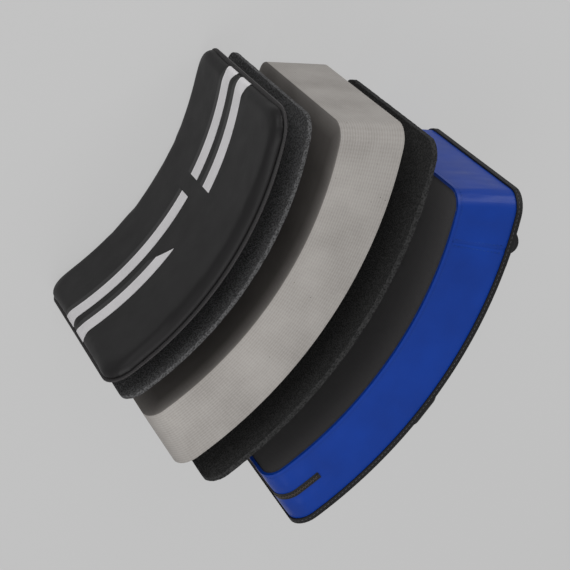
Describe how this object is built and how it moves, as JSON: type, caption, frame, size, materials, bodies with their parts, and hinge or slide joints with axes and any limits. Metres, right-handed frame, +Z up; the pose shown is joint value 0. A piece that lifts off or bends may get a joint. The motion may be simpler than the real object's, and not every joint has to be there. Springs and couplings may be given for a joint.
{
  "type": "thai pad",
  "caption": "Curved kick pad opened into layers: padded strike face, foams, thick core and a zipped blue cover with forearm straps and a grip on the back",
  "frame": {"origin": "middle of the back binding's lower edge, on the surface that the pad stands on", "axes": "+X along the pad towards its zip end, +Y out of the back, -Y out of the strike face, +Z up across the pad's width"},
  "size_m": [0.3856, 0.3578, 0.218],
  "materials": {
    "blue_leather": "semi-gloss",
    "black_leather": "matte",
    "stripe_leather": "matte",
    "black_foam": "matte",
    "grey_foam": "matte",
    "dark_foam": "matte",
    "lining_cloth": "matte",
    "black_webbing": "matte",
    "hook_and_loop": "matte",
    "steel_wire": "polished",
    "zip_cloth": "matte",
    "zip_teeth": "matte",
    "dark_metal": "satin"
  },
  "bodies": {
    "cover": {"back_binding": "black_leather", "back_panel": "black_leather", "base_block": "dark_foam", "elbow_anchor_high": "black_leather", "elbow_anchor_low": "black_leather", "elbow_keeper": "black_webbing", "elbow_loop_patch": "hook_and_loop", "elbow_ring": "steel_wire", "elbow_strap": "black_webbing", "end_panel": "blue_leather", "forearm_pad": "black_leather", "front_hem": "blue_leather", "front_lining": "lining_cloth", "grip_cuff_high": "black_leather", "grip_cuff_low": "black_leather", "grip_padding": "black_foam", "grip_patch_high": "black_leather", "grip_patch_low": "black_leather", "grip_sleeve": "black_leather", "grip_strap": "black_webbing", "side_panel": "blue_leather", "wrist_anchor_high": "black_leather", "wrist_anchor_low": "black_leather", "wrist_keeper": "black_webbing", "wrist_loop_patch": "hook_and_loop", "wrist_ring": "steel_wire", "wrist_strap": "black_webbing", "zip_coil": "zip_teeth", "zip_stop_lower": "dark_metal", "zip_stop_upper": "dark_metal", "zip_tape": "zip_cloth"},
    "rear_foam": {"rear_foam": "black_foam"},
    "core": {"core_block": "grey_foam"},
    "front_foam": {"front_foam": "black_foam"},
    "strike_panel": {"strike_cover": "black_leather", "strike_padding": "black_foam", "strike_backing": "lining_cloth", "stripe_grip_low": "stripe_leather", "stripe_grip_high": "stripe_leather", "stripe_zip_low": "stripe_leather", "stripe_zip_high": "stripe_leather"},
    "zip_slider": {"zip_slider": "dark_metal"},
    "zip_pull": {"zip_pull": "dark_metal"},
    "elbow_flap": {"elbow_flap": "black_webbing", "elbow_hook_patch": "hook_and_loop"},
    "wrist_flap": {"wrist_flap": "black_webbing", "wrist_hook_patch": "hook_and_loop"}
  },
  "joints": [
    {"name": "rear_foam_close", "type": "slide", "parent": "cover", "child": "rear_foam", "axis": [0, 1, 0], "range_m": [0, 0.03597]},
    {"name": "core_close", "type": "slide", "parent": "rear_foam", "child": "core", "axis": [0, 1, 0], "range_m": [0, 0.0292]},
    {"name": "front_foam_close", "type": "slide", "parent": "core", "child": "front_foam", "axis": [0, 1, 0], "range_m": [0, 0.0312]},
    {"name": "strike_panel_close", "type": "slide", "parent": "front_foam", "child": "strike_panel", "axis": [0, 1, 0], "range_m": [0, 0.0207]},
    {"name": "elbow_flap_open", "type": "hinge", "parent": "cover", "child": "elbow_flap", "pos_m": [0.10934, 0.00629, 0.16858], "axis": [0.9699, -0.2436, 0], "range_deg": [0, 100]},
    {"name": "wrist_flap_open", "type": "hinge", "parent": "cover", "child": "wrist_flap", "pos_m": [-0.01879, 0.01942, 0.16858], "axis": [0.9991, 0.0419, 0], "range_deg": [0, 100]},
    {"name": "zip_slide", "type": "slide", "parent": "cover", "child": "zip_slider", "axis": [0, 0, 1], "range_m": [0, 0.142]},
    {"name": "zip_pull_swing", "type": "hinge", "parent": "zip_slider", "child": "zip_pull", "pos_m": [0.18117, -0.07795, 0.034], "axis": [-0.4462, -0.8949, 0], "range_deg": [0, 160]}
  ]
}
